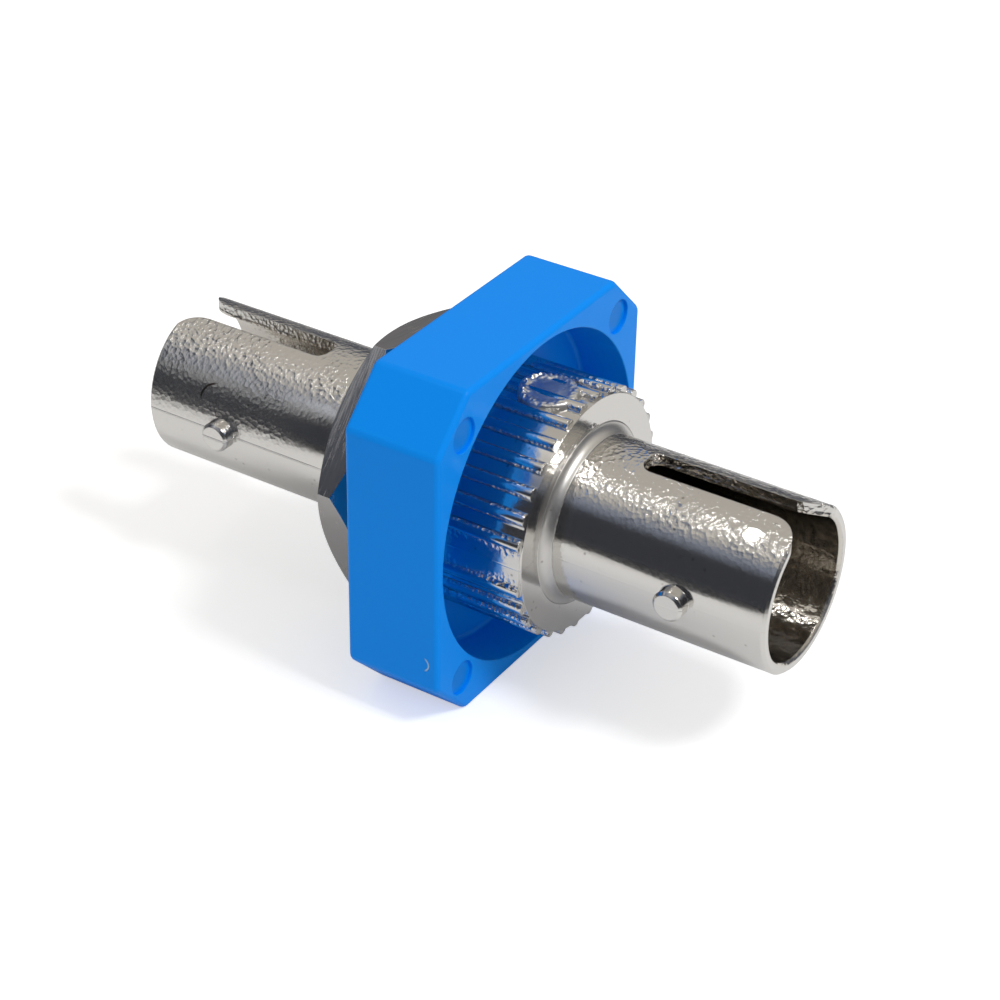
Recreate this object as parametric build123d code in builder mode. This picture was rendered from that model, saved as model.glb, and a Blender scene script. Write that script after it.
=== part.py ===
# Simplex fibre coupler: two bayonet sockets back to back on one plated zinc casting,
# clamped through a moulded square carrier by a hex nut, with a split alignment sleeve inside.
#
# Millimetres. The origin is on the coupler's axis at the optical mating plane, halfway
# between the two mouths. +X runs along the axis towards the splined collar's barrel and
# +Z is up, through the two keyways. The casting's dies part on the plane Z = 0.

import os
from math import cos, radians, sin, tan

from build123d import *

os.makedirs("parts", exist_ok=True)

# Barrels, alike at both ends
mouth_reach = 15.0
barrel_radius = 3.5
barrel_bore_radius = 3.0
mouth_edge = 0.12

# Bayonet lugs, one on each side of each barrel
lug_setback = 3.95
lug_radius = 0.66
lug_stand = 0.58
lug_edge = 0.12

# Keyways in the top of each barrel
keyway_width = 1.4
keyway_length = 7.3
keyway_end_round = 0.5
keyway_mouth_round = 1.3

# Splined collar: each half of the die makes its own ribs, with none where the dies part
collar_radius = 5.1
collar_length = 4.7
ribs_per_die = 14
rib_radius = 0.28
rib_setback = 0.1
draw_wall_overhang = 0.14
root_edge = 0.2

# Threaded shank, with a flat on each side
shank_radius = 4.76
shank_half_flat = 4.1
shank_proud = 0.3
shank_edge = 0.3

# Square carrier
carrier_side = 15.1
carrier_thickness = 4.43
carrier_corner = 2.1
corner_round = 0.45
carrier_edge = 0.25
recess_wall = 0.4
recess_depth = 2.41
recess_rim_edge = 0.06
wall_share_rounded = 0.65
recess_floor_x = 0.4
dimple_radius = 0.75
dimple_depth = 0.15
dimple_spacing = 11.5
shank_clearance = 0.1

# Lock washer with twisted teeth inside its ring
washer_radius = 5.5
washer_ring_width = 0.35
washer_thickness = 0.45
tooth_count = 12
tooth_width = 1.2
tooth_clearance = 0.1
tooth_twist = 19.8

# Hex nut
nut_across_flats = 11.1
nut_thickness = 2.0
nut_sides = 6
nut_near_face_radius = 4.95
nut_far_face_radius = 5.4
nut_chamfer_angle = 30.0
nut_turn = 21.0
nut_bore_edge = 0.12
thread_clearance = 0.04

# Sleeve housings, pressed in from each mouth against the web
web_half_thickness = 4.0
housing_radius = 2.35
housing_reach = 10.0
housing_clearance = 0.02
housing_edge = 0.2
flange_thickness = 0.9
flange_clearance = 0.08
ferrule_entry_clearance = 0.18
entry_chamfer = 0.45

# Split alignment sleeve for ferrules of 2.5 mm
sleeve_bore_radius = 1.25
sleeve_wall = 0.35
sleeve_length = 11.4
sleeve_slit = 0.4
sleeve_radial_play = 0.05
sleeve_end_play = 0.1

# Sizes and places that the values above give
full_turn = 360.0
same = 0.01
axis_frame = Plane.YZ
lug_x = mouth_reach - lug_setback
lug_tip = barrel_radius + lug_stand
keyway_end_x = mouth_reach - keyway_length
collar_face_x = recess_floor_x + collar_length
rib_pitch = full_turn / 2 / (ribs_per_die + 1)
recess_radius = carrier_side / 2 - recess_wall
outer_edge = min(carrier_edge, recess_wall * wall_share_rounded)
rim_edge = min(recess_rim_edge, (recess_wall - outer_edge) / 2)
carrier_front_x = recess_floor_x + recess_depth
carrier_back_x = carrier_front_x - carrier_thickness
twist = radians(tooth_twist)
washer_height = tooth_width * sin(twist) + washer_thickness * cos(twist)
washer_middle_x = carrier_back_x - washer_height / 2
nut_near_x = carrier_back_x - washer_height
nut_far_x = nut_near_x - nut_thickness
shank_end_x = nut_far_x - shank_proud
sleeve_radius = sleeve_bore_radius + sleeve_wall
pocket_radius = sleeve_radius + sleeve_radial_play
pocket_reach = sleeve_length / 2 + sleeve_end_play
ferrule_entry_radius = sleeve_bore_radius + ferrule_entry_clearance
flange_radius = barrel_bore_radius - flange_clearance


def rings(part, radius, *places):
    """Circular edges of one radius that lie at the given places along the axis."""
    circles = part.edges().filter_by(GeomType.CIRCLE)
    return circles.filter_by(
        lambda edge: abs(edge.radius - radius) < same
        and any(abs(edge.center().X - place) < same for place in places)
    )


def keyway_outline(side):
    """Plan of one keyway: a slot with a rounded end whose mouth flares through two arcs."""
    cut_end = mouth_reach + mouth_edge
    flare_start = mouth_reach - keyway_mouth_round
    flare_middle = side * (flare_start + cut_end) / 2
    flare_y = keyway_width / 2 + keyway_mouth_round
    with BuildSketch(Plane.XY) as outline:
        with Locations((side * (keyway_end_x + cut_end) / 2, 0)):
            Rectangle(cut_end - keyway_end_x, keyway_width)
        blind_end = outline.vertices().group_by(SortBy.DISTANCE)[0]
        fillet(blind_end, keyway_end_round)
        with Locations((flare_middle, 0)):
            Rectangle(cut_end - flare_start, 2 * flare_y)
        with Locations((side * flare_start, flare_y), (side * flare_start, -flare_y)):
            Circle(keyway_mouth_round, mode=Mode.SUBTRACT)
    return outline.sketch


# Casting: both barrels, the collar, the shank and the web are one piece of zinc
with BuildPart() as body_casting:
    with BuildSketch(axis_frame.offset(shank_end_x)):
        Circle(shank_radius)
    extrude(amount=recess_floor_x - shank_end_x)
    chamfer(rings(body_casting, shank_radius, shank_end_x), shank_edge)
    with BuildSketch(axis_frame.offset(shank_end_x)):
        Rectangle(2 * shank_half_flat, 2 * shank_radius)
    extrude(amount=recess_floor_x - shank_end_x, mode=Mode.INTERSECT)

    with BuildSketch(axis_frame.offset(recess_floor_x)):
        Circle(collar_radius)
    extrude(amount=collar_length)

    # Each rib is round on top, and a straight wall runs from it down the die's draw
    with BuildSketch(axis_frame.offset(recess_floor_x)):
        for index in range(ribs_per_die):
            angle = radians(rib_pitch * (index + 1))
            rib_y = collar_radius * cos(angle)
            rib_z = collar_radius * sin(angle)
            outward = 1 if rib_y > 0 else -1
            wall_y = abs(rib_y) + draw_wall_overhang
            with Locations((rib_y, rib_z)):
                Circle(rib_radius)
            with Locations((outward * wall_y / 2, rib_z / 2)):
                Rectangle(wall_y, rib_z)
        mirror(about=Plane.XZ)
    extrude(amount=collar_length - rib_setback)

    with BuildSketch(axis_frame.offset(-mouth_reach)):
        Circle(barrel_radius)
    extrude(amount=2 * mouth_reach)
    chamfer(rings(body_casting, barrel_radius, -mouth_reach, mouth_reach), mouth_edge)
    chamfer(rings(body_casting, barrel_radius, collar_face_x), root_edge)

    for side in (1, -1):
        for lug_side in (1, -1):
            lug_frame = Plane(origin=(side * lug_x, 0, 0), x_dir=(1, 0, 0), z_dir=(0, lug_side, 0))
            with BuildSketch(lug_frame):
                Circle(lug_radius)
            extrude(amount=lug_tip)
    lug_rims = body_casting.edges().filter_by(GeomType.CIRCLE).filter_by(
        lambda edge: abs(abs(edge.center().Y) - lug_tip) < same
    )
    chamfer(lug_rims, lug_edge)

    with BuildSketch(axis_frame.offset(-mouth_reach)):
        Circle(housing_radius + housing_clearance)
    extrude(amount=2 * mouth_reach, mode=Mode.SUBTRACT)
    for side in (1, -1):
        with BuildSketch(axis_frame.offset(side * web_half_thickness)):
            Circle(barrel_bore_radius)
        extrude(amount=side * (mouth_reach - web_half_thickness), mode=Mode.SUBTRACT)
    chamfer(rings(body_casting, barrel_bore_radius, -mouth_reach, mouth_reach), mouth_edge)

    for side in (1, -1):
        with BuildSketch(Plane.XY):
            add(keyway_outline(side))
        extrude(amount=lug_tip, mode=Mode.SUBTRACT)
body_casting.part.label = "body_casting"
export_step(body_casting.part, "parts/body_casting.step")

# Square carrier, moulded in plastic, with a deep round recess for the collar
with BuildPart() as carrier_block:
    with BuildSketch(axis_frame.offset(carrier_back_x)) as carrier_outline:
        Rectangle(carrier_side, carrier_side)
        chamfer(carrier_outline.vertices(), carrier_corner)
    extrude(amount=carrier_thickness)
    fillet(carrier_block.edges().filter_by(Axis.X), corner_round)
    carrier_ends = carrier_block.faces().filter_by(Axis.X)
    chamfer(carrier_ends.edges(), outer_edge)

    with BuildSketch(axis_frame.offset(carrier_front_x)):
        Circle(recess_radius)
    extrude(amount=-recess_depth, mode=Mode.SUBTRACT)
    chamfer(rings(carrier_block, recess_radius, carrier_front_x), rim_edge)

    with BuildSketch(axis_frame.offset(carrier_back_x)):
        Circle(shank_radius + shank_clearance)
        Rectangle(
            2 * (shank_half_flat + shank_clearance),
            2 * (shank_radius + shank_clearance),
            mode=Mode.INTERSECT,
        )
    extrude(amount=carrier_thickness, mode=Mode.SUBTRACT)

    with BuildSketch(axis_frame.offset(carrier_front_x)):
        with GridLocations(dimple_spacing, dimple_spacing, 2, 2):
            Circle(dimple_radius)
    extrude(amount=-dimple_depth, mode=Mode.SUBTRACT)
carrier_block.part.label = "carrier_block"
export_step(carrier_block.part, "parts/carrier_block.step")

# Lock washer: a flat ring whose inner teeth are twisted to bite the nut and the carrier
with BuildPart() as lock_washer:
    ring_bore = washer_radius - washer_ring_width
    tooth_tip = shank_radius + tooth_clearance
    tooth_root = ring_bore + washer_ring_width / 2
    with BuildSketch(axis_frame.offset(washer_middle_x - washer_thickness / 2)):
        Circle(washer_radius)
        Circle(ring_bore, mode=Mode.SUBTRACT)
    extrude(amount=washer_thickness)
    with Locations(axis_frame.offset(washer_middle_x)):
        with PolarLocations((tooth_tip + tooth_root) / 2, tooth_count):
            Box(
                tooth_root - tooth_tip,
                tooth_width,
                washer_thickness,
                rotation=(tooth_twist, 0, 0),
            )
lock_washer.part.label = "lock_washer"
export_step(lock_washer.part, "parts/lock_washer.step")

# Hex nut, turned on both faces so that its corners are cut back
with BuildPart() as hex_nut:
    half_side_turn = full_turn / nut_sides / 2
    corner_radius = nut_across_flats / 2 / cos(radians(half_side_turn))
    chamfer_slope = tan(radians(nut_chamfer_angle))
    near_drop = (corner_radius - nut_near_face_radius) * chamfer_slope
    far_drop = (corner_radius - nut_far_face_radius) * chamfer_slope
    with BuildSketch(axis_frame.offset(nut_far_x)):
        RegularPolygon(
            nut_across_flats / 2,
            nut_sides,
            major_radius=False,
            rotation=nut_turn + half_side_turn,
        )
    extrude(amount=nut_thickness)
    with BuildSketch(Plane.XZ):
        with BuildLine():
            Polyline(
                (nut_far_x, 0),
                (nut_far_x, nut_far_face_radius),
                (nut_far_x + far_drop, corner_radius),
                (nut_near_x - near_drop, corner_radius),
                (nut_near_x, nut_near_face_radius),
                (nut_near_x, 0),
                close=True,
            )
        make_face()
    revolve(axis=Axis.X, mode=Mode.INTERSECT)
    with BuildSketch(axis_frame.offset(nut_far_x)):
        Circle(shank_radius + thread_clearance)
    extrude(amount=nut_thickness, mode=Mode.SUBTRACT)
    chamfer(rings(hex_nut, shank_radius + thread_clearance, nut_far_x, nut_near_x), nut_bore_edge)
hex_nut.part.label = "hex_nut"
export_step(hex_nut.part, "parts/hex_nut.step")

# Sleeve housings: a flanged tube at each end, with the sleeve trapped between them
for side, name in ((1, "front_sleeve_housing"), (-1, "rear_sleeve_housing")):
    flange_end_x = web_half_thickness + flange_thickness
    with BuildPart() as housing:
        with BuildSketch(Plane.XZ):
            with BuildLine():
                Polyline(
                    (0, pocket_radius),
                    (side * pocket_reach, pocket_radius),
                    (side * pocket_reach, ferrule_entry_radius),
                    (side * (housing_reach - entry_chamfer), ferrule_entry_radius),
                    (side * housing_reach, ferrule_entry_radius + entry_chamfer),
                    (side * housing_reach, housing_radius - housing_edge),
                    (side * (housing_reach - housing_edge), housing_radius),
                    (side * flange_end_x, housing_radius),
                    (side * flange_end_x, flange_radius),
                    (side * web_half_thickness, flange_radius),
                    (side * web_half_thickness, housing_radius),
                    (0, housing_radius),
                    close=True,
                )
            make_face()
        revolve(axis=Axis.X)
    housing.part.label = name
    export_step(housing.part, f"parts/{name}.step")

# Alignment sleeve: a thin split tube that grips the two ferrules end to end
with BuildPart() as alignment_sleeve:
    with BuildSketch(axis_frame.offset(-sleeve_length / 2)):
        Circle(sleeve_radius)
        Circle(sleeve_bore_radius, mode=Mode.SUBTRACT)
    extrude(amount=sleeve_length)
    with Locations((0, 0, -sleeve_radius)):
        Box(sleeve_length, sleeve_slit, sleeve_radius, mode=Mode.SUBTRACT)
alignment_sleeve.part.label = "alignment_sleeve"
export_step(alignment_sleeve.part, "parts/alignment_sleeve.step")
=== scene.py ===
from math import cos, exp, pi, radians, sin, tan

import bmesh
import bpy
from bpy.props import (
    FloatProperty,
    FloatVectorProperty,
    PointerProperty,
)
from bpy.types import Operator, Panel, PropertyGroup
from mathutils import Matrix, Vector, noise


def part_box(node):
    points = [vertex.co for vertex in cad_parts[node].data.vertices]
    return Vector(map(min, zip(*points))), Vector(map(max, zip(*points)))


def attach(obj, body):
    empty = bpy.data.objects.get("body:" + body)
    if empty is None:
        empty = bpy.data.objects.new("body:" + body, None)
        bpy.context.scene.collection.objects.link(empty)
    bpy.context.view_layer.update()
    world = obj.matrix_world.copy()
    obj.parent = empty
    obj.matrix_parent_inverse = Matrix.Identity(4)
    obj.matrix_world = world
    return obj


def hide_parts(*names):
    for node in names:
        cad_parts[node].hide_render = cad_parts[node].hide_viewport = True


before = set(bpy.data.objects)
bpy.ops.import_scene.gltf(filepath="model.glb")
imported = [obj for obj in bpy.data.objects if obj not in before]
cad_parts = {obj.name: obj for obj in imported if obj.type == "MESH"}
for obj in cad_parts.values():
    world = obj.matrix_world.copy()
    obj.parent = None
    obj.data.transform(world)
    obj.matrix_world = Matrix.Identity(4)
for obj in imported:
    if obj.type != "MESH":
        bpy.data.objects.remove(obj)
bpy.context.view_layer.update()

bl_info = {
    "name": "Simplex Fibre Coupler",
    "version": (1, 0, 0),
    "blender": (4, 5, 0),
    "location": "3D View > Sidebar > Coupler",
    "description": "Finishes a bayonet fibre coupler: casting, carrier, nut and sleeves",
    "category": "Object",
}

MM = 0.001
BODY = "root"

# The carrier's own box in the frame gives its thickness, its sides and its place
CARRIER_LOW, CARRIER_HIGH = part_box("carrier_block")

# The casting's own radii, which tell the materials what a point of its surface belongs to
BORE_RADIUS = 3.0 * MM
BARREL_RADIUS = 3.5 * MM
COLLAR_RADIUS = 5.1 * MM

# Small marks that casting, wear and handling left, each at its own place
COLLAR_PIT = Vector((5.31, -3.59, -0.27)) * MM
BARREL_NICK = Vector((-11.58, -3.24, 1.32)) * MM
BARREL_NICK_RADIUS = 0.69 * MM
WORN_SPOT = Vector((13.4, -1.78, 3.01)) * MM
WORN_NORMAL = Vector((0.016, -0.543, 0.84))
CARRIER_NICK = Vector((2.05, -7.55, -4.26)) * MM
CARRIER_NICK_RADIUS = 0.32 * MM

# Lines per metre along X, Y and Z that each kind of tool leaves
MILLED = (5200.0, 420.0, 420.0)
STAMPED = (800.0, 3500.0, 3500.0)
TURNED = (9000.0, 300.0, 300.0)
SCORED = (14000.0, 1500.0, 1500.0)


class CastingFinish(PropertyGroup):
    """Nickel plate over a die-cast zinc skin."""

    plate_color: FloatVectorProperty(
        name="Plate", description="Colour of the nickel plate",
        default=(0.68, 0.665, 0.64), subtype="COLOR", size=3, min=0, max=1,
    )
    stain_color: FloatVectorProperty(
        name="Stain", description="Colour of the plate in pits and hollows",
        default=(0.12, 0.1, 0.08), subtype="COLOR", size=3, min=0, max=1,
    )
    bore_color: FloatVectorProperty(
        name="Bore", description="Colour of the plate inside the barrels",
        default=(0.64, 0.61, 0.56), subtype="COLOR", size=3, min=0, max=1,
    )
    roughness: FloatProperty(
        name="Roughness", description="Roughness of the clean plate", default=0.13, min=0, max=1,
    )
    hammer_size: FloatProperty(
        name="Hammer Size", description="Width of one dimple of the casting's skin",
        default=0.2 * MM, unit="LENGTH", min=0.01 * MM,
    )
    hammer_depth: FloatProperty(
        name="Hammer Depth", description="Depth of the casting's dimples",
        default=0.075 * MM, unit="LENGTH", min=0,
    )
    ripple_depth: FloatProperty(
        name="Bore Ripple", description="Depth of the ripples inside the barrels",
        default=0.06 * MM, unit="LENGTH", min=0,
    )
    edge_round: FloatProperty(
        name="Edge Round", description="Radius at which the plate rounds each cast edge",
        default=0.06 * MM, unit="LENGTH", min=0,
    )


class CastDetails(PropertyGroup):
    """Cast forms too fine for the frame: the root's fillet and the gate's mark."""

    face_place: FloatProperty(
        name="Collar Face", description="Where the collar's front face stands along the axis",
        default=5.1 * MM, unit="LENGTH",
    )
    barrel_radius: FloatProperty(
        name="Barrel Radius", description="Radius of the barrels",
        default=3.5 * MM, unit="LENGTH", min=0,
    )
    root_round: FloatProperty(
        name="Root Round", description="Radius of the fillet between collar and barrel",
        default=0.45 * MM, unit="LENGTH", min=0,
    )
    gate_place: FloatProperty(
        name="Gate Place", description="Where the gate's mark lies along the axis",
        default=3.2 * MM, unit="LENGTH",
    )
    gate_turn: FloatProperty(
        name="Gate Turn", description="Angle of the gate's mark from the top towards the front",
        default=radians(3.0), subtype="ANGLE",
    )
    gate_height: FloatProperty(
        name="Gate Height", description="Distance of the mark's flat from the axis",
        default=5.33 * MM, unit="LENGTH", min=0,
    )


class CarrierFinish(PropertyGroup):
    """The blue moulded carrier: its forms that the frame's box doesn't give, and its skin."""

    corner_cut: FloatProperty(
        name="Corner Cut", description="How much each corner of the square is cut back",
        default=2.1 * MM, unit="LENGTH", min=0,
    )
    corner_round: FloatProperty(
        name="Corner Round", description="Radius of the long corner edges",
        default=0.45 * MM, unit="LENGTH", min=0,
    )
    end_round: FloatProperty(
        name="End Round", description="Radius round the outline of both ends",
        default=0.25 * MM, unit="LENGTH", min=0,
    )
    recess_wall: FloatProperty(
        name="Recess Wall", description="Thinnest wall between the recess and a flat side",
        default=0.4 * MM, unit="LENGTH", min=0.1 * MM,
    )
    recess_depth: FloatProperty(
        name="Recess Depth", description="Depth of the round recess",
        default=2.41 * MM, unit="LENGTH", min=0,
    )
    floor_round: FloatProperty(
        name="Floor Round", description="Radius round the recess's floor",
        default=0.2 * MM, unit="LENGTH", min=0,
    )
    rim_round: FloatProperty(
        name="Rim Round", description="Radius of the recess's and the dimples' rims",
        default=0.06 * MM, unit="LENGTH", min=0,
    )
    hole_radius: FloatProperty(
        name="Hole Radius", description="Radius of the hole for the shank",
        default=4.86 * MM, unit="LENGTH", min=0,
    )
    hole_half_flat: FloatProperty(
        name="Hole Half Flat", description="Distance of the hole's flats from the axis",
        default=4.2 * MM, unit="LENGTH", min=0,
    )
    dimple_radius: FloatProperty(
        name="Dimple Radius", description="Radius of the four dimples in the front",
        default=0.75 * MM, unit="LENGTH", min=0,
    )
    dimple_depth: FloatProperty(
        name="Dimple Depth", description="Depth of the four dimples",
        default=0.15 * MM, unit="LENGTH", min=0,
    )
    dimple_place: FloatProperty(
        name="Dimple Place", description="Distance of each dimple from the axis along Y and Z",
        default=5.75 * MM, unit="LENGTH", min=0,
    )
    plastic_color: FloatVectorProperty(
        name="Plastic", description="Colour of the moulded plastic",
        default=(0.0, 0.285, 0.98), subtype="COLOR", size=3, min=0, max=1,
    )
    bruise_color: FloatVectorProperty(
        name="Bruise", description="Colour of the plastic where it is nicked",
        default=(0.35, 0.6, 0.97), subtype="COLOR", size=3, min=0, max=1,
    )
    roughness: FloatProperty(
        name="Roughness", description="Roughness of the moulded skin", default=0.36, min=0, max=1,
    )
    grain_depth: FloatProperty(
        name="Grain Depth", description="Depth of the moulded skin's waves",
        default=0.003 * MM, unit="LENGTH", min=0,
    )


class NutFinish(PropertyGroup):
    """Nickel plate over turned and milled brass."""

    plate_color: FloatVectorProperty(
        name="Plate", description="Colour of the nut's plate",
        default=(0.5, 0.485, 0.47), subtype="COLOR", size=3, min=0, max=1,
    )
    roughness: FloatProperty(
        name="Roughness", description="Roughness of the nut's plate", default=0.09, min=0, max=1,
    )
    tool_depth: FloatProperty(
        name="Tool Marks", description="Depth of the milling marks on the flats",
        default=0.005 * MM, unit="LENGTH", min=0,
    )


class SleeveFinish(PropertyGroup):
    """The turned housings and the ceramic sleeve inside."""

    housing_color: FloatVectorProperty(
        name="Housing", description="Colour of the housings' plate",
        default=(0.55, 0.51, 0.46), subtype="COLOR", size=3, min=0, max=1,
    )
    ceramic_color: FloatVectorProperty(
        name="Ceramic", description="Colour of the split sleeve",
        default=(0.84, 0.83, 0.79), subtype="COLOR", size=3, min=0, max=1,
    )


class StudioSetup(PropertyGroup):
    """Camera, floor and lights."""

    camera_place: FloatVectorProperty(
        name="Camera", description="Where the camera stands",
        default=(49.0086 * MM, -75.753 * MM, 56.7392 * MM), subtype="XYZ", unit="LENGTH", size=3,
    )
    camera_target: FloatVectorProperty(
        name="Target", description="The point in the middle of the picture",
        default=(0.815 * MM, 0.0, -0.936 * MM), subtype="XYZ", unit="LENGTH", size=3,
    )
    camera_roll: FloatProperty(
        name="Roll", description="How far the camera is turned about its view",
        default=radians(1.02), subtype="ANGLE",
    )
    lens: FloatProperty(
        name="Lens", description="Focal length on a sensor 36 mm wide", default=92.404, min=1,
    )
    lamp_power: FloatProperty(
        name="Ceiling Lamp", description="Power of the lamp overhead", default=0.05, min=0,
    )
    key_power: FloatProperty(
        name="Key Lamp", description="Power of the lamp above the near end", default=1.05, min=0,
    )
    fill_power: FloatProperty(
        name="Fill Lamp", description="Power of the dim panel beside the far end",
        default=0.0004, min=0,
    )
    soft_color: FloatVectorProperty(
        name="Soft Light", description="Colour and strength of the even light from all round",
        default=(0.55, 0.54, 0.525), subtype="COLOR", size=3, min=0, max=1,
    )
    ceiling_color: FloatVectorProperty(
        name="Ceiling", description="Colour of the room's bright upper part in reflections",
        default=(0.57, 0.54, 0.49), subtype="COLOR", size=3, min=0, max=1,
    )
    panel_color: FloatVectorProperty(
        name="Panel", description="Colour of the bright panel overhead in reflections",
        default=(0.74, 0.715, 0.67), subtype="COLOR", size=3, min=0, max=1,
    )
    far_color: FloatVectorProperty(
        name="Far Side", description="Colour of the room behind the object in reflections",
        default=(0.11, 0.12, 0.15), subtype="COLOR", size=3, min=0, max=1,
    )
    dusk_color: FloatVectorProperty(
        name="Dusk", description="Colour between the ceiling and the dark band",
        default=(0.25, 0.28, 0.355), subtype="COLOR", size=3, min=0, max=1,
    )
    band_color: FloatVectorProperty(
        name="Dark Band", description="Colour of the dim room at eye level on the camera's side",
        default=(0.045, 0.048, 0.058), subtype="COLOR", size=3, min=0, max=1,
    )


SETTINGS = {
    "coupler_casting": CastingFinish,
    "coupler_details": CastDetails,
    "coupler_carrier": CarrierFinish,
    "coupler_nut": NutFinish,
    "coupler_sleeves": SleeveFinish,
    "coupler_studio": StudioSetup,
}


class Nodes:
    """A node tree with short ways to add a node and to join two sockets."""

    def __init__(self, tree):
        self.tree = tree

    def add(self, kind, **values):
        """Adds a node and sets its properties, and its inputs by name."""
        node = self.tree.nodes.new(kind)
        inputs = values.pop("inputs", {})
        for name, value in values.items():
            setattr(node, name, value)
        for name, value in inputs.items():
            self.feed(node.inputs[name], value)
        return node

    def join(self, source, target):
        self.tree.links.new(source, target)

    def feed(self, socket, value):
        """Joins a socket to another, or sets its value."""
        if isinstance(value, bpy.types.NodeSocket):
            self.join(value, socket)
        else:
            socket.default_value = value

    def math(self, operation, first, second=None, clamp=False):
        """One Math node; each side is a number or a socket."""
        node = self.add("ShaderNodeMath", operation=operation, use_clamp=clamp)
        self.feed(node.inputs[0], first)
        if second is not None:
            self.feed(node.inputs[1], second)
        return node.outputs[0]

    def times(self, first, second):
        return self.math("MULTIPLY", first, second)

    def plus(self, first, second):
        return self.math("ADD", first, second)

    def minus(self, first, second):
        return self.math("SUBTRACT", first, second)

    def ramp(self, value, low, high):
        """A soft step from 0 at low to 1 at high; low is less than high."""
        node = self.add("ShaderNodeMapRange", interpolation_type="SMOOTHSTEP")
        node.inputs["From Min"].default_value = low
        node.inputs["From Max"].default_value = high
        self.join(value, node.inputs["Value"])
        return node.outputs["Result"]

    def fall(self, value, low, high):
        """A soft step from 1 at low down to 0 at high."""
        return self.minus(1.0, self.ramp(value, low, high))

    def near(self, value, place, inner, outer):
        """1 within an inner distance of a number, falling to 0 at an outer one."""
        return self.fall(self.math("ABSOLUTE", self.minus(value, place)), inner, outer)

    def split(self, vector):
        """The X, Y and Z sockets of a vector."""
        return self.add("ShaderNodeSeparateXYZ", inputs={"Vector": vector}).outputs

    def mix(self, factor, first, second):
        """A colour between two; each is a colour or a socket."""
        node = self.add("ShaderNodeMix", data_type="RGBA")
        sockets = {item.identifier: item for item in node.inputs}
        self.feed(sockets["Factor_Float"], factor)
        for name, value in (("A_Color", first), ("B_Color", second)):
            plain = not isinstance(value, bpy.types.NodeSocket)
            self.feed(sockets[name], (*value, 1.0) if plain else value)
        return next(item for item in node.outputs if item.identifier == "Result_Color")

    def distance(self, place, centre):
        """Distance of the surface from a fixed point."""
        node = self.add("ShaderNodeVectorMath", operation="DISTANCE")
        self.join(place, node.inputs[0])
        node.inputs[1].default_value = centre
        return node.outputs["Value"]

    def noise(self, place, size, detail=2.0):
        """Noise whose features are about one size across."""
        node = self.add("ShaderNodeTexNoise", inputs={
            "Vector": place, "Scale": 1.0 / size, "Detail": detail,
        })
        return node.outputs["Fac"]

    def stretched(self, place, scale):
        """The coordinates scaled along each axis, for drawn-out patterns."""
        node = self.add("ShaderNodeMapping", inputs={"Vector": place})
        node.inputs["Scale"].default_value = scale
        return node.outputs["Vector"]


def new_group(name, inputs, outputs):
    """A shader node group with named number or colour sockets."""
    tree = bpy.data.node_groups.new(name, "ShaderNodeTree")
    for socket_name, socket_type, value in inputs:
        socket = tree.interface.new_socket(socket_name, in_out="INPUT", socket_type=socket_type)
        if value is not None:
            socket.default_value = value
    for socket_name, socket_type in outputs:
        tree.interface.new_socket(socket_name, in_out="OUTPUT", socket_type=socket_type)
    nodes = Nodes(tree)
    return tree, nodes, nodes.add("NodeGroupInput").outputs, nodes.add("NodeGroupOutput").inputs


def cast_skin_group():
    """Hammered dimples and pits of a die-casting's plated skin."""
    tree, nodes, given, result = new_group(
        "Cast Skin",
        [
            ("Vector", "NodeSocketVector", None),
            ("Dimple Size", "NodeSocketFloat", 0.15 * MM),
            ("Strength", "NodeSocketFloat", 1.0),
            ("Roughness", "NodeSocketFloat", 0.13),
        ],
        [
            ("Height", "NodeSocketFloat"),
            ("Pits", "NodeSocketFloat"),
            ("Roughness", "NodeSocketFloat"),
        ],
    )
    patch_size, pit_spacing = 2.2 * MM, 0.7 * MM
    place = given["Vector"]
    dimple_scale = nodes.math("DIVIDE", 1.0, given["Dimple Size"])
    patches = nodes.noise(place, patch_size)
    lumps = nodes.add("ShaderNodeTexVoronoi", feature="SMOOTH_F1", inputs={
        "Vector": place, "Scale": dimple_scale, "Smoothness": 0.35,
    }).outputs["Distance"]
    fine = nodes.add("ShaderNodeTexNoise", inputs={
        "Vector": place, "Scale": nodes.times(dimple_scale, 1.7), "Detail": 3.0,
    }).outputs["Fac"]
    # Squared, each dimple is a bowl that catches a lamp in one small place
    bowls = nodes.times(nodes.math("POWER", lumps, 2.0), 0.6)
    height = nodes.plus(bowls, nodes.times(fine, 0.35))
    # Heights lie about zero, so that a patch whose weight changes doesn't lean
    height = nodes.minus(height, 0.25)
    patchy = nodes.plus(nodes.times(nodes.ramp(patches, 0.38, 0.62), 0.55), 0.45)
    nodes.join(nodes.times(height, nodes.times(patchy, given["Strength"])), result["Height"])
    specks = nodes.add("ShaderNodeTexVoronoi", feature="F1", inputs={
        "Vector": place, "Scale": 1.0 / pit_spacing,
    }).outputs["Distance"]
    nodes.join(nodes.times(nodes.fall(specks, 0.04, 0.12), patchy), result["Pits"])
    varied = nodes.times(nodes.minus(fine, 0.5), 0.16)
    rough = nodes.math("MAXIMUM", nodes.plus(given["Roughness"], varied), 0.05)
    nodes.join(rough, result["Roughness"])
    return tree


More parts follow.
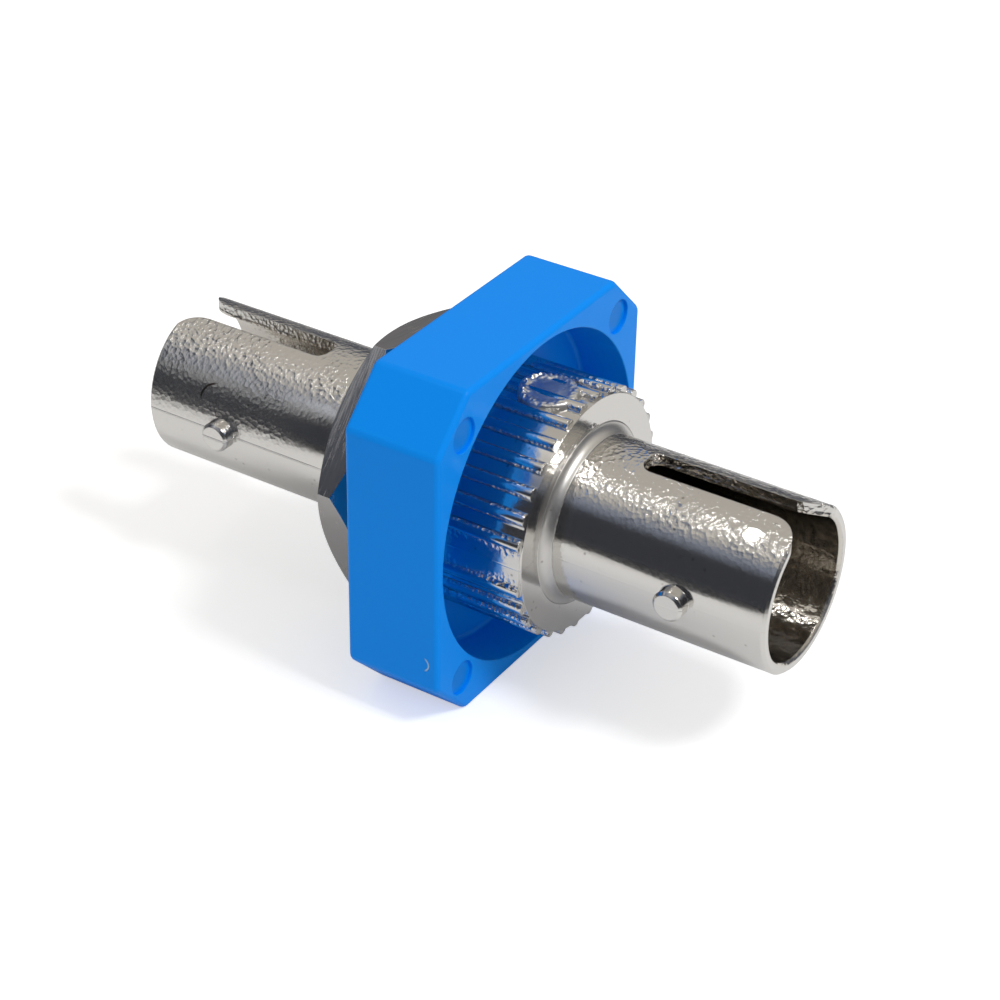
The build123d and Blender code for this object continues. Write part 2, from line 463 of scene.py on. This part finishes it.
def tool_marks_group():
    """Fine lines across one direction, as a cutter or a grinder leaves them."""
    tree, nodes, given, result = new_group(
        "Tool Marks",
        [
            ("Vector", "NodeSocketVector", None),
            ("Roughness", "NodeSocketFloat", 0.25),
            ("Spread", "NodeSocketFloat", 0.2),
        ],
        [("Height", "NodeSocketFloat"), ("Roughness", "NodeSocketFloat")],
    )
    lines = nodes.add("ShaderNodeTexNoise", inputs={
        "Vector": given["Vector"], "Scale": 1.0, "Detail": 3.0,
    }).outputs["Fac"]
    nodes.join(lines, result["Height"])
    varied = nodes.times(nodes.minus(lines, 0.5), given["Spread"])
    nodes.join(nodes.plus(varied, given["Roughness"]), result["Roughness"])
    return tree


def start_material(name):
    """A material with its own Principled BSDF and the object's coordinates."""
    material = bpy.data.materials.new(name)
    material.use_nodes = True
    material.node_tree.nodes.clear()
    nodes = Nodes(material.node_tree)
    shader = nodes.add("ShaderNodeBsdfPrincipled")
    output = nodes.add("ShaderNodeOutputMaterial")
    nodes.join(shader.outputs["BSDF"], output.inputs["Surface"])
    coordinates = nodes.add("ShaderNodeTexCoord").outputs["Object"]
    return material, nodes, shader, coordinates


def use_group(nodes, name, **values):
    """Places a shared node group with this material's own values."""
    group = nodes.add("ShaderNodeGroup", node_tree=bpy.data.node_groups[name])
    for socket_name, value in values.items():
        nodes.feed(group.inputs[socket_name.replace("_", " ")], value)
    return group.outputs


def bumps(nodes, shader, *layers, base=None):
    """Stacks height layers into the shader's normal; a layer is a height and its depth."""
    normal = base
    for height, depth in layers:
        bump = nodes.add("ShaderNodeBump", inputs={
            "Strength": 1.0, "Distance": depth, "Height": height,
        })
        if normal is not None:
            nodes.join(normal, bump.inputs["Normal"])
        normal = bump.outputs["Normal"]
    nodes.join(normal, shader.inputs["Normal"])


def worn_flat(nodes, place, spot):
    """Height that lifts the round barrel to a small flat within a spot."""
    across = nodes.add("ShaderNodeVectorMath", operation="DOT_PRODUCT", inputs={"Vector": place})
    across.inputs[1].default_value = -WORN_NORMAL
    below_flat = nodes.plus(across.outputs["Value"], WORN_NORMAL.dot(WORN_SPOT))
    return nodes.times(below_flat, spot)


def casting_material(finish):
    """Nickel plate that follows the casting's dimples, stained in its pits."""
    material, nodes, shader, place = start_material("plated_casting")
    along = nodes.split(place)
    from_axis = nodes.add("ShaderNodeCombineXYZ", inputs={"Y": along["Y"], "Z": along["Z"]})
    radius = nodes.distance(from_axis.outputs["Vector"], (0, 0, 0))
    # The far barrel's skin is duller and more even than the near one's
    far_end = nodes.fall(along["X"], -9.0 * MM, -5.0 * MM)

    # Both barrels are coarser towards the keyways than where the dies part
    on_barrel = nodes.fall(radius, BARREL_RADIUS + 0.4 * MM, BARREL_RADIUS + 0.8 * MM)
    upper = nodes.times(nodes.ramp(nodes.math("DIVIDE", along["Z"], radius), 0.6, 0.92), on_barrel)
    crests = nodes.times(
        nodes.ramp(radius, COLLAR_RADIUS + 0.03 * MM, COLLAR_RADIUS + 0.12 * MM),
        nodes.fall(radius, COLLAR_RADIUS + 0.19 * MM, COLLAR_RADIUS + 0.24 * MM),
    )
    spot = nodes.fall(nodes.distance(place, WORN_SPOT), 0.25 * MM, 0.6 * MM)
    grainy = nodes.times(upper, nodes.math("SUBTRACT", 1.0, spot, clamp=True))
    evenly = nodes.plus(nodes.times(far_end, 0.3), 0.05)
    strength = nodes.plus(nodes.plus(nodes.times(grainy, 1.15), evenly), nodes.times(crests, 1.3))
    rougher = nodes.plus(nodes.times(far_end, 0.1), nodes.times(crests, 0.1))
    skin = use_group(
        nodes, "Cast Skin", Vector=place, Dimple_Size=finish.hammer_size,
        Strength=strength, Roughness=nodes.plus(rougher, finish.roughness),
    )
    in_bore = nodes.fall(radius, BORE_RADIUS + 0.04 * MM, BORE_RADIUS + 0.2 * MM)
    ripples = nodes.times(nodes.noise(place, 0.5 * MM, detail=3.0), in_bore)

    # A thin flash line shows where the dies part, most on the far barrel
    parting = nodes.near(along["Z"], 0.0, 0.015 * MM, 0.05 * MM)
    outside = nodes.ramp(radius, BARREL_RADIUS - 0.2 * MM, BARREL_RADIUS - 0.1 * MM)
    parting = nodes.times(nodes.times(parting, outside), nodes.plus(far_end, 0.2))

    # A pit beside the collar, and part of a ring where the far barrel was nicked
    pit = nodes.fall(nodes.distance(place, COLLAR_PIT), 0.07 * MM, 0.16 * MM)
    ring = nodes.distance(place, BARREL_NICK)
    nick = nodes.near(ring, BARREL_NICK_RADIUS, 0.03 * MM, 0.06 * MM)
    raised = nodes.ramp(along["Z"], BARREL_NICK.z - 0.12 * MM, BARREL_NICK.z + 0.03 * MM)
    outer = nodes.fall(along["X"], BARREL_NICK.x - 0.27 * MM, BARREL_NICK.x - 0.02 * MM)
    nick = nodes.times(nick, nodes.times(raised, outer))
    stains = nodes.math("MAXIMUM", nodes.math("MAXIMUM", pit, nick), nodes.times(skin["Pits"], 0.5))

    lining = nodes.mix(in_bore, finish.plate_color, finish.bore_color)
    nodes.join(nodes.mix(stains, lining, finish.stain_color), shader.inputs["Base Color"])
    shader.inputs["Metallic"].default_value = 1.0
    nodes.join(skin["Roughness"], shader.inputs["Roughness"])
    edges = nodes.add("ShaderNodeBevel", samples=4, inputs={"Radius": finish.edge_round})
    flash_height = 0.02 * MM
    bumps(
        nodes, shader,
        (skin["Height"], finish.hammer_depth),
        (ripples, finish.ripple_depth),
        (parting, flash_height),
        (worn_flat(nodes, place, spot), 1.0),
        base=edges.outputs["Normal"],
    )
    return material


def detail_material(finish):
    """The same plate on the added details, duller and without the casting's rounded edges."""
    material, nodes, shader, place = start_material("plated_detail")
    skin = use_group(
        nodes, "Cast Skin", Vector=place, Dimple_Size=finish.hammer_size,
        Strength=0.03, Roughness=finish.roughness + 0.25,
    )
    stain = nodes.times(skin["Pits"], 0.5)
    nodes.join(nodes.mix(stain, finish.plate_color, finish.stain_color), shader.inputs["Base Color"])
    shader.inputs["Metallic"].default_value = 1.0
    nodes.join(skin["Roughness"], shader.inputs["Roughness"])
    bumps(nodes, shader, (skin["Height"], finish.hammer_depth))
    return material


def carrier_material(finish):
    """Semi-gloss blue plastic with a faintly wavy skin, painted shade in its dimples and a bruised
    nick.
    """
    material, nodes, shader, place = start_material("blue_plastic")
    waves = nodes.noise(place, 1.1 * MM, detail=3.0)
    along = nodes.split(place)
    ring = nodes.distance(place, CARRIER_NICK)
    nick = nodes.near(ring, CARRIER_NICK_RADIUS, 0.02 * MM, 0.06 * MM)
    front_half = nodes.ramp(along["X"], CARRIER_NICK.x + 0.09 * MM, CARRIER_NICK.x + 0.23 * MM)
    nick = nodes.times(nick, front_half)

    # Folded over both planes, the four dimples are one
    folded = nodes.add("ShaderNodeCombineXYZ", inputs={
        "X": CARRIER_HIGH.x,
        "Y": nodes.math("ABSOLUTE", along["Y"]),
        "Z": nodes.math("ABSOLUTE", along["Z"]),
    }).outputs["Vector"]
    middle = (CARRIER_HIGH.x, finish.dimple_place, finish.dimple_place)
    away = nodes.distance(folded, middle)
    dimple = nodes.fall(away, finish.dimple_radius * 0.5, finish.dimple_radius * 1.1)
    front = nodes.ramp(along["X"], CARRIER_HIGH.x - 0.31 * MM, CARRIER_HIGH.x - 0.21 * MM)
    dimple = nodes.times(dimple, front)
    # Painted shade: the plastic's colour is darkened in the four dimples
    dimple_painted_shade = tuple(part * 0.72 for part in finish.plastic_color)
    plain = nodes.mix(nodes.times(dimple, 0.8), finish.plastic_color, dimple_painted_shade)
    nodes.join(nodes.mix(nick, plain, finish.bruise_color), shader.inputs["Base Color"])
    shader.inputs["Specular IOR Level"].default_value = 0.12
    rough = nodes.times(nodes.minus(waves, 0.5), 0.1)
    nodes.join(nodes.plus(rough, finish.roughness), shader.inputs["Roughness"])
    nick_depth = -0.05 * MM
    bumps(nodes, shader, (waves, finish.grain_depth), (nick, nick_depth))
    return material


def marked_material(name, color, metallic, roughness, lines, depth, spread=0.2, scores=0.0):
    """A machined surface with fine lines; scores are drawn marks, rougher by that much."""
    material, nodes, shader, place = start_material(name)
    marks = use_group(
        nodes, "Tool Marks", Vector=nodes.stretched(place, lines), Roughness=roughness, Spread=spread,
    )
    grime = nodes.noise(place, 1.6 * MM)
    tint = nodes.times(nodes.ramp(grime, 0.35, 0.7), 0.12)
    darker = tuple(part * 0.75 for part in color)
    nodes.join(nodes.mix(tint, color, darker), shader.inputs["Base Color"])
    shader.inputs["Metallic"].default_value = metallic
    rough = marks["Roughness"]
    if scores:
        drawn = nodes.noise(nodes.stretched(place, SCORED), 1.0)
        where = nodes.ramp(nodes.noise(place, 1.5 * MM), 0.42, 0.6)
        scored = nodes.times(nodes.ramp(drawn, 0.58, 0.66), where)
        rough = nodes.plus(rough, nodes.times(scored, scores))
    nodes.join(rough, shader.inputs["Roughness"])
    edge_round = 0.05 * MM
    edges = nodes.add("ShaderNodeBevel", samples=4, inputs={"Radius": edge_round})
    bumps(nodes, shader, (marks["Height"], depth), base=edges.outputs["Normal"])
    return material


def dress(node, material):
    """Puts one material into every slot of a CAD node."""
    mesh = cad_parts[node].data
    if not mesh.materials:
        mesh.materials.append(material)
    for index in range(len(mesh.materials)):
        mesh.materials[index] = material


def add_piece(name, shape, material):
    """Makes a bmesh an object that rides on the coupler, and frees the bmesh."""
    mesh = bpy.data.meshes.new(name)
    shape.to_mesh(mesh)
    shape.free()
    mesh.materials.append(material)
    piece = bpy.data.objects.new(name, mesh)
    bpy.context.scene.collection.objects.link(piece)
    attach(piece, BODY)
    return piece


def smooth(shape):
    """Shades every face of a bmesh smooth."""
    for face in shape.faces:
        face.smooth = True


def soften(shape, edges, offset, segments):
    """Bevels edges of a bmesh into a round of some segments."""
    bmesh.ops.bevel(
        shape, geom=edges, offset=offset, offset_type="OFFSET", segments=segments,
        profile=0.5, affect="EDGES", material=-1, clamp_overlap=True,
    )


def along_x(edge):
    """Whether an edge runs along the coupler's axis."""
    run = (edge.verts[1].co - edge.verts[0].co).normalized()
    return abs(run.x) > 0.999


def axial_cylinder(radius, low_x, high_x, centre=(0.0, 0.0), segments=128):
    """A closed cylinder along X between two places."""
    shape = bmesh.new()
    turn = Matrix.Rotation(pi / 2, 4, "Y")
    place = Matrix.Translation(((low_x + high_x) / 2, *centre))
    bmesh.ops.create_cone(
        shape, cap_ends=True, segments=segments, radius1=radius, radius2=radius,
        depth=high_x - low_x, matrix=place @ turn,
    )
    return shape


def shank_cutter(finish, low_x, high_x):
    """The hole for the shank: a cylinder with two flats."""
    shape = axial_cylinder(finish.hole_radius, low_x, high_x, segments=96)
    for side in (1, -1):
        everything = shape.verts[:] + shape.edges[:] + shape.faces[:]
        bmesh.ops.bisect_plane(
            shape, geom=everything, plane_co=(0, side * finish.hole_half_flat, 0),
            plane_no=(0, side, 0), clear_outer=True,
        )
        bmesh.ops.holes_fill(shape, edges=[edge for edge in shape.edges if edge.is_boundary])
    return shape


def carrier_outside(finish):
    """A square block with cut corners and rounded outer edges."""
    shape = bmesh.new()
    bmesh.ops.create_cube(shape, size=1.0)
    bmesh.ops.scale(shape, verts=shape.verts, vec=CARRIER_HIGH - CARRIER_LOW)
    bmesh.ops.translate(shape, verts=shape.verts, vec=(CARRIER_LOW + CARRIER_HIGH) / 2)
    soften(shape, [edge for edge in shape.edges if along_x(edge)], finish.corner_cut, 1)
    tangent = finish.corner_round * tan(radians(22.5))
    soften(shape, [edge for edge in shape.edges if along_x(edge)], tangent, 6)
    ends = [edge for edge in shape.edges if not along_x(edge)]
    soften(shape, ends, finish.end_round, 5)
    return shape


def cut_away(piece_name, outside, cutters):
    """Cuts closed shapes out of another and returns the result as a bmesh."""
    made = []
    for shape in (outside, *cutters):
        mesh = bpy.data.meshes.new(piece_name)
        bmesh.ops.recalc_face_normals(shape, faces=shape.faces)
        shape.to_mesh(mesh)
        shape.free()
        made.append(bpy.data.objects.new(piece_name, mesh))
        bpy.context.scene.collection.objects.link(made[-1])
    block, *blades = made
    for cutter in blades:
        modifier = block.modifiers.new("cut", "BOOLEAN")
        modifier.operation = "DIFFERENCE"
        modifier.solver = "EXACT"
        modifier.object = cutter
    graph = bpy.context.evaluated_depsgraph_get()
    result = bmesh.new()
    result.from_object(block, graph)
    for item in made:
        mesh = item.data
        bpy.data.objects.remove(item)
        bpy.data.meshes.remove(mesh)
    return result


def ring_edges(shape, radius, place_x, centre=(0.0, 0.0)):
    """Edges of a round rim at one place along the axis."""
    slack = 0.01 * MM
    found = []
    for edge in shape.edges:
        near = [
            abs(vert.co.x - place_x) < slack
            and abs(Vector((vert.co.y - centre[0], vert.co.z - centre[1])).length - radius) < slack
            for vert in edge.verts
        ]
        if all(near):
            found.append(edge)
    return found


def build_carrier(finish):
    """The carrier's block with its recess, its shank hole and its four dimples."""
    front = CARRIER_HIGH.x
    beyond = 1.0 * MM
    recess_radius = CARRIER_HIGH.z - finish.recess_wall
    floor_x = front - finish.recess_depth
    spot = finish.dimple_place
    spots = [(spot, spot), (spot, -spot), (-spot, spot), (-spot, -spot)]
    cutters = [
        axial_cylinder(recess_radius, floor_x, front + beyond),
        shank_cutter(finish, CARRIER_LOW.x - beyond, front),
    ]
    dimple_floor = front - finish.dimple_depth
    cutters += [
        axial_cylinder(finish.dimple_radius, dimple_floor, front + beyond, centre, segments=48)
        for centre in spots
    ]
    shape = cut_away("carrier", carrier_outside(finish), cutters)
    soften(shape, ring_edges(shape, recess_radius, floor_x), finish.floor_round, 4)
    soften(shape, ring_edges(shape, recess_radius, front), finish.rim_round, 2)
    for centre in spots:
        rim = ring_edges(shape, finish.dimple_radius, front, centre)
        soften(shape, rim, finish.rim_round / 2, 2)
    smooth(shape)
    return shape


def gate_outline():
    """A flat grid with a ragged round edge, for the gate's mark."""
    shape = bmesh.new()
    bmesh.ops.create_grid(shape, x_segments=90, y_segments=90, size=1.45 * MM)
    outline, raggedness, bite = 1.3 * MM, 0.16 * MM, 0.7 * MM
    outside = []
    for vert in shape.verts:
        wobble = noise.noise(Vector((vert.co.x, vert.co.y, 0)) / bite) * raggedness
        if vert.co.xy.length + wobble > outline:
            outside.append(vert)
    bmesh.ops.delete(shape, geom=outside, context="VERTS")
    return shape


def gate_lift(flat):
    """How far the broken metal stands up at a point of the flat mark."""
    rim, ridge_width = 1.05 * MM, 0.2 * MM
    ridge_height, crumb_height = 0.13 * MM, 0.1 * MM
    lump_height, grain_height = 0.06 * MM, 0.003 * MM
    away = flat.length
    ridge = exp(-((away - rim) / ridge_width) ** 2)
    # The horseshoe is open towards the front and highest at its back
    open_front = 1.0 / (1.0 + exp((flat.x / max(away, 0.01 * MM) - 0.55) * 9))
    back = 1.0 / (1.0 + exp((flat.x + 0.2 * MM) / (0.25 * MM)))
    crumbs = noise.noise(Vector((flat.x, flat.y, 1 * MM)) / (0.13 * MM))
    lumps = noise.noise(Vector((flat.x, flat.y, 3 * MM)) / (0.4 * MM))
    lift = ridge_height * ridge * (0.35 + 0.65 * open_front)
    lift += crumb_height * crumbs * ridge * (0.35 + 0.65 * back) + grain_height * crumbs
    return lift + lump_height * max(lumps, 0) * (0.3 + back)


def gate_drop(away):
    """How far the mark's edge turns down into the ribs."""
    edge, width, deepest = 1.16 * MM, 0.2 * MM, 0.3 * MM
    return min(deepest * max(0.0, (away - edge) / width) ** 2, deepest)


class COUPLER_OT_finish_casting(Operator):
    """Plate the one-piece casting, and make the plate of the details added to it"""

    bl_idname = "coupler.finish_casting"
    bl_label = "Finish Casting"

    def execute(self, context):
        cast_skin_group()
        dress("body_casting", casting_material(context.scene.coupler_casting))
        detail_material(context.scene.coupler_casting)
        return {"FINISHED"}


class COUPLER_OT_add_root_fillet(Operator):
    """Round the corner between the collar's face and the near barrel"""

    bl_idname = "coupler.add_root_fillet"
    bl_label = "Add Root Fillet"

    def execute(self, context):
        sizes = context.scene.coupler_details
        # Sunk a little into the casting, so that no face of the two is shared
        sink = 0.0015 * MM
        low_x = sizes.face_place - sink
        low_r = sizes.barrel_radius - sink
        reach = sizes.root_round + sink
        shape = bmesh.new()
        start = shape.verts.new((low_x, 0, low_r + reach))
        bmesh.ops.spin(
            shape, geom=[start], cent=(low_x + reach, 0, low_r + reach), axis=(0, 1, 0),
            angle=-pi / 2, steps=8,
        )
        arc = sorted(shape.verts, key=lambda vert: vert.co.x)
        inner = shape.verts.new((low_x, 0, low_r))
        shape.edges.new((arc[0], inner))
        shape.edges.new((inner, arc[-1]))
        bmesh.ops.spin(
            shape, geom=shape.verts[:] + shape.edges[:], cent=(0, 0, 0), axis=(1, 0, 0),
            angle=2 * pi, steps=96, use_merge=True,
        )
        bmesh.ops.remove_doubles(shape, verts=shape.verts, dist=0.0005 * MM)
        bmesh.ops.recalc_face_normals(shape, faces=shape.faces)
        smooth(shape)
        material = bpy.data.materials["plated_detail"]
        add_piece("root_fillet", shape, material)
        return {"FINISHED"}


class COUPLER_OT_add_gate_mark(Operator):
    """Add the rough horseshoe where the gate was broken off the collar"""

    bl_idname = "coupler.add_gate_mark"
    bl_label = "Add Gate Mark"

    def execute(self, context):
        sizes = context.scene.coupler_details
        skirt_depth = 0.35 * MM
        shape = gate_outline()
        for vert in shape.verts:
            flat = Vector((vert.co.x, vert.co.y))
            turn = sizes.gate_turn - flat.y / sizes.gate_height
            height = sizes.gate_height + gate_lift(flat) - gate_drop(flat.length)
            vert.co = (sizes.gate_place + flat.x, -height * sin(turn), height * cos(turn))
        skirt = bmesh.ops.extrude_edge_only(
            shape, edges=[edge for edge in shape.edges if edge.is_boundary],
        )
        for item in skirt["geom"]:
            if isinstance(item, bmesh.types.BMVert):
                item.co.z -= skirt_depth
        bmesh.ops.holes_fill(shape, edges=[edge for edge in shape.edges if edge.is_boundary])
        bmesh.ops.recalc_face_normals(shape, faces=shape.faces)
        smooth(shape)
        material = bpy.data.materials["plated_detail"]
        add_piece("gate_mark", shape, material)
        return {"FINISHED"}


class COUPLER_OT_build_carrier(Operator):
    """Mould the blue carrier with soft edges"""

    bl_idname = "coupler.build_carrier"
    bl_label = "Build Carrier"

    def execute(self, context):
        finish = context.scene.coupler_carrier
        shape = build_carrier(finish)
        piece = add_piece("carrier", shape, carrier_material(finish))
        weighted = piece.modifiers.new("flat sides", "WEIGHTED_NORMAL")
        weighted.keep_sharp = True
        piece.data.set_sharp_from_angle(angle=radians(50))
        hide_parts("carrier_block")
        return {"FINISHED"}


class COUPLER_OT_finish_nut(Operator):
    """Plate the nut and the lock washer"""

    bl_idname = "coupler.finish_nut"
    bl_label = "Finish Nut and Washer"

    def execute(self, context):
        finish = context.scene.coupler_nut
        tool_marks_group()
        dress("hex_nut", marked_material(
            "plated_nut", finish.plate_color, 1.0, finish.roughness,
            MILLED, finish.tool_depth, spread=0.08, scores=0.25,
        ))
        dress("lock_washer", marked_material(
            "plated_washer", finish.plate_color, 1.0, 0.35, STAMPED, 0.004 * MM,
        ))
        return {"FINISHED"}


class COUPLER_OT_finish_sleeves(Operator):
    """Plate the two housings and grind the ceramic sleeve"""

    bl_idname = "coupler.finish_sleeves"
    bl_label = "Finish Sleeves"

    def execute(self, context):
        finish = context.scene.coupler_sleeves
        plate = marked_material(
            "plated_housing", finish.housing_color, 1.0, 0.22, TURNED, 0.004 * MM,
        )
        dress("front_sleeve_housing", plate)
        dress("rear_sleeve_housing", plate)
        dress("alignment_sleeve", marked_material(
            "sleeve_ceramic", finish.ceramic_color, 0.0, 0.25, TURNED, 0.002 * MM,
        ))
        return {"FINISHED"}


def add_area_light(name, power, sides, place, target):
    """A soft rectangular light that faces a point."""
    light = bpy.data.lights.new(name, "AREA")
    light.energy = power
    light.shape = "RECTANGLE"
    light.size, light.size_y = sides
    lamp = bpy.data.objects.new(name, light)
    lamp.location = place
    lamp.rotation_euler = (Vector(target) - Vector(place)).to_track_quat("-Z", "Y").to_euler()
    bpy.context.scene.collection.objects.link(lamp)


def add_camera(setup):
    """The camera at the photograph's viewing angle."""
    camera = bpy.data.cameras.new("camera")
    camera.lens = setup.lens
    camera.sensor_width = 36.0
    camera.clip_start = 1 * MM
    camera.clip_end = 10.0
    holder = bpy.data.objects.new("camera", camera)
    view = Vector(setup.camera_target) - Vector(setup.camera_place)
    turn = view.to_track_quat("-Z", "Y").to_matrix() @ Matrix.Rotation(setup.camera_roll, 3, "Z")
    holder.matrix_world = Matrix.Translation(setup.camera_place) @ turn.to_4x4()
    bpy.context.scene.collection.objects.link(holder)
    bpy.context.scene.camera = holder


def ray_masks(nodes):
    """1 for rays straight from the camera or through something clear, and 1 for mirrored rays."""
    rays = nodes.add("ShaderNodeLightPath").outputs
    seen = nodes.math("MAXIMUM", rays["Is Camera Ray"], rays["Is Transmission Ray"])
    return seen, rays["Is Glossy Ray"]


def studio_world(setup):
    """Even soft light, and in reflections a room that is dim at eye level.

    The camera itself sees plain white behind the object.
    """
    world = bpy.data.worlds.new("studio")
    world.use_nodes = True
    world.node_tree.nodes.clear()
    nodes = Nodes(world.node_tree)
    direction = nodes.add("ShaderNodeTexCoord").outputs["Generated"]
    along = nodes.split(direction)
    height = along["Z"]
    # How far a direction leans to the side that the camera stands on
    lean = nodes.times(along["Y"], -1.0)
    near_side = nodes.ramp(lean, -0.05, 0.3)
    far_side = nodes.minus(1.0, near_side)
    behind = nodes.times(nodes.fall(height, 0.05, 0.6), far_side)
    below_dusk = nodes.times(nodes.fall(height, 0.66, 0.84), near_side)
    below_band = nodes.times(nodes.fall(height, 0.48, 0.7), near_side)
    panel = nodes.times(nodes.ramp(lean, 0.0, 0.14), nodes.ramp(height, 0.79, 0.87))
    ceiling = nodes.mix(panel, setup.ceiling_color, setup.panel_color)
    upper = nodes.mix(behind, ceiling, setup.far_color)
    dusk = nodes.mix(below_dusk, upper, setup.dusk_color)
    room = nodes.mix(below_band, dusk, setup.band_color)
    seen, mirrored = ray_masks(nodes)
    light = nodes.mix(mirrored, setup.soft_color, room)
    lit = nodes.add("ShaderNodeBackground", inputs={"Color": light, "Strength": 1.0})
    white = nodes.add("ShaderNodeBackground", inputs={"Color": (1, 1, 1, 1), "Strength": 1.0})
    mixed = nodes.add("ShaderNodeMixShader", inputs={"Fac": seen})
    nodes.join(lit.outputs[0], mixed.inputs[1])
    nodes.join(white.outputs[0], mixed.inputs[2])
    output = nodes.add("ShaderNodeOutputWorld")
    nodes.join(mixed.outputs[0], output.inputs["Surface"])
    bpy.context.scene.world = world


def add_floor():
    """A round white table just under the carrier's flat side."""
    mesh = bpy.data.meshes.new("floor")
    shape = bmesh.new()
    bmesh.ops.create_circle(
        shape, cap_ends=True, segments=96, radius=110 * MM,
        matrix=Matrix.Translation((0, 0, CARRIER_LOW.z)),
    )
    shape.to_mesh(mesh)
    shape.free()
    floor = bpy.data.objects.new("floor", mesh)
    bpy.context.scene.collection.objects.link(floor)
    material, nodes, shader, place = start_material("white_table")
    shader.inputs["Roughness"].default_value = 0.7
    shader.inputs["Specular IOR Level"].default_value = 0.1
    shader.inputs["Emission Color"].default_value = (1.0, 1.0, 1.0, 1.0)
    seen, mirrored = ray_masks(nodes)
    away = nodes.distance(place, (0, 0, 0))
    # In reflections the table ends in the dark, and glows in a ring round the object
    ends = nodes.times(mirrored, nodes.ramp(away, 36 * MM, 60 * MM))
    color = nodes.mix(ends, (0.8, 0.8, 0.8), (0.04, 0.04, 0.045))
    nodes.join(color, shader.inputs["Base Color"])
    ring = nodes.times(nodes.ramp(away, 8 * MM, 22 * MM), nodes.fall(away, 28 * MM, 52 * MM))
    bright = nodes.times(nodes.times(mirrored, ring), 0.19)
    # The camera sees it near white, with the object's shadow on it
    glow = nodes.math("MAXIMUM", nodes.times(seen, 0.5), bright)
    nodes.join(glow, shader.inputs["Emission Strength"])
    material.cycles.emission_sampling = "NONE"
    mesh.materials.append(material)


class COUPLER_OT_set_stage(Operator):
    """Add the floor, the soft lights, the room and the camera"""

    bl_idname = "coupler.set_stage"
    bl_label = "Set Stage"

    def execute(self, context):
        setup = context.scene.coupler_studio
        add_floor()
        middle = (0, 0, 0)
        far_end = (-0.009, 0, 0)
        overhead = (-0.155, -0.1, 0.465)
        above_near_end = (0.3, 0.0, 0.41)
        beside_far_end = (-0.0435, -0.043, 0.037)
        add_area_light("ceiling_lamp", setup.lamp_power, (0.026, 0.026), overhead, middle)
        add_area_light("key_lamp", setup.key_power, (0.1, 0.1), above_near_end, middle)
        add_area_light("fill_lamp", setup.fill_power, (0.012, 0.03), beside_far_end, far_end)
        studio_world(setup)
        add_camera(setup)
        context.scene.view_settings.view_transform = "Standard"
        return {"FINISHED"}


class COUPLER_PT_panel(Panel):
    """The coupler's pieces, in the order they are finished"""

    bl_idname = "COUPLER_PT_panel"
    bl_label = "Fibre Coupler"
    bl_space_type = "VIEW_3D"
    bl_region_type = "UI"
    bl_category = "Coupler"

    def draw(self, context):
        for operator in OPERATORS:
            self.layout.operator(operator.bl_idname)


OPERATORS = (
    COUPLER_OT_finish_casting,
    COUPLER_OT_add_root_fillet,
    COUPLER_OT_add_gate_mark,
    COUPLER_OT_build_carrier,
    COUPLER_OT_finish_nut,
    COUPLER_OT_finish_sleeves,
    COUPLER_OT_set_stage,
)


def register():
    for group in SETTINGS.values():
        bpy.utils.register_class(group)
    for name, group in SETTINGS.items():
        setattr(bpy.types.Scene, name, PointerProperty(type=group))
    for operator in OPERATORS:
        bpy.utils.register_class(operator)
    bpy.utils.register_class(COUPLER_PT_panel)


def unregister():
    bpy.utils.unregister_class(COUPLER_PT_panel)
    for operator in reversed(OPERATORS):
        bpy.utils.unregister_class(operator)
    for name in SETTINGS:
        delattr(bpy.types.Scene, name)
    for group in SETTINGS.values():
        bpy.utils.unregister_class(group)


def main():
    register()
    bpy.ops.coupler.finish_casting()
    bpy.ops.coupler.add_root_fillet()
    bpy.ops.coupler.add_gate_mark()
    bpy.ops.coupler.build_carrier()
    bpy.ops.coupler.finish_nut()
    bpy.ops.coupler.finish_sleeves()
    bpy.ops.coupler.set_stage()


if __name__ == "__main__":
    main()
